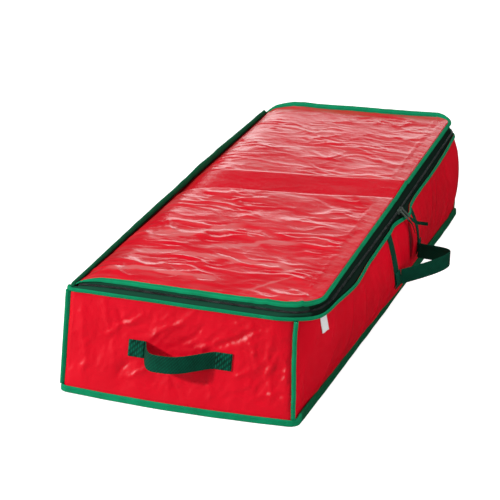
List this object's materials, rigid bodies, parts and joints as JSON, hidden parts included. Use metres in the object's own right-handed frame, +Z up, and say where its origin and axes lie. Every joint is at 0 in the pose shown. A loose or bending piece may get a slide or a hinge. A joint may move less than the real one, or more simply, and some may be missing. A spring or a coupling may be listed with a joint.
{
  "type": "gift wrap organizer",
  "caption": "Long soft fabric box with a zipped lid hinged along one side, bound seams, webbing carry handles and clear pockets under the lid.",
  "frame": {"origin": "centre of the base on the floor", "axes": "+Z up, -Y towards the near end, +X towards the long side that the zip opens, with the lid hinged along the -X side"},
  "size_m": [0.4649, 1.0953, 0.1878],
  "materials": {
    "red_tarp": "glossy red laminated woven plastic",
    "green_binding": "folded green binding tape",
    "zip_tape_green": "dark green woven zip tape",
    "zip_coil_black": "black moulded coil",
    "green_webbing": "dark green woven webbing",
    "clear_vinyl": "thin clear vinyl",
    "white_label": "plain white woven label",
    "dark_metal": "dark coated metal"
  },
  "bodies": {
    "box": {"body_zip_coil": "zip_coil_black", "body_zip_tape": "zip_tape_green", "bottom_binding_front": "green_binding", "bottom_binding_left": "green_binding", "bottom_binding_rear": "green_binding", "bottom_binding_right": "green_binding", "bottom_panel": "red_tarp", "corner_binding_front_left": "green_binding", "corner_binding_front_right": "green_binding", "corner_binding_rear_left": "green_binding", "corner_binding_rear_right": "green_binding", "front_end_panel": "red_tarp", "front_handle_left_end": "green_webbing", "front_handle_right_end": "green_webbing", "left_side_panel": "red_tarp", "rear_end_panel": "red_tarp", "rear_handle_left_end": "green_webbing", "rear_handle_right_end": "green_webbing", "right_side_panel": "red_tarp", "rim_binding": "green_binding", "sewn_in_label": "white_label", "side_handle_far_end": "green_webbing", "side_handle_near_end": "green_webbing", "side_support_strap_far": "green_webbing", "side_support_strap_near": "green_webbing"},
    "lid": {"lid_panel": "red_tarp", "lid_binding": "green_binding", "hinge_binding": "green_binding", "lid_zip_tape": "zip_tape_green", "lid_zip_coil": "zip_coil_black", "lid_pocket_front": "clear_vinyl", "lid_pocket_rear": "clear_vinyl", "lid_pocket_mouth_tape_front": "green_binding", "lid_pocket_mouth_tape_rear": "green_binding"},
    "near_zip_slider": {"near_slider": "dark_metal"},
    "near_zip_puller": {"near_puller": "dark_metal"},
    "near_zip_ribbon": {"near_pull_ribbon": "green_webbing"},
    "far_zip_slider": {"far_slider": "dark_metal"},
    "far_zip_puller": {"far_puller": "dark_metal"},
    "far_zip_ribbon": {"far_pull_ribbon": "green_webbing"},
    "front_handle": {"front_handle_strap": "green_webbing"},
    "rear_handle": {"rear_handle_strap": "green_webbing"},
    "side_handle": {"side_handle_strap": "green_webbing"}
  },
  "joints": [
    {"name": "lid_hinge", "type": "hinge", "parent": "box", "child": "lid", "pos_m": [-0.17795, 0, 0.1523], "axis": [0, -1, 0], "range_deg": [0, 180]},
    {"name": "near_slider_slide", "type": "slide", "parent": "lid", "child": "near_zip_slider", "axis": [0.0194, -0.9998, 0], "range_m": [0, 0.3985]},
    {"name": "near_puller_swing", "type": "hinge", "parent": "near_zip_slider", "child": "near_zip_puller", "pos_m": [0.19433, 0.00601, 0.1643], "axis": [0.0194, -0.9998, 0], "range_deg": [0, 125]},
    {"name": "near_ribbon_swing", "type": "hinge", "parent": "near_zip_puller", "child": "near_zip_ribbon", "pos_m": [0.20904, 0.0063, 0.15105], "axis": [0.0194, -0.9998, 0], "range_deg": [0, 40]},
    {"name": "far_slider_slide", "type": "slide", "parent": "lid", "child": "far_zip_slider", "axis": [-0.0372, 0.9993, 0], "range_m": [0, 0.4433]},
    {"name": "far_puller_swing", "type": "hinge", "parent": "far_zip_slider", "child": "far_zip_puller", "pos_m": [0.19398, 0.01831, 0.1643], "axis": [0.0372, -0.9993, 0], "range_deg": [0, 125]},
    {"name": "far_ribbon_swing", "type": "hinge", "parent": "far_zip_puller", "child": "far_zip_ribbon", "pos_m": [0.20869, 0.01886, 0.15105], "axis": [0.0372, -0.9993, 0], "range_deg": [0, 40]},
    {"name": "front_handle_swing", "type": "hinge", "parent": "box", "child": "front_handle", "pos_m": [0, -0.50387, 0.09196], "axis": [-1, 0, 0], "range_deg": [0, 80]},
    {"name": "rear_handle_swing", "type": "hinge", "parent": "box", "child": "rear_handle", "pos_m": [0, 0.51035, 0.09205], "axis": [1, 0, 0], "range_deg": [0, 80]},
    {"name": "side_handle_swing", "type": "hinge", "parent": "box", "child": "side_handle", "pos_m": [0.21989, -0.003, 0.095], "axis": [0, -0.9992, -0.0411], "range_deg": [0, 45]}
  ]
}
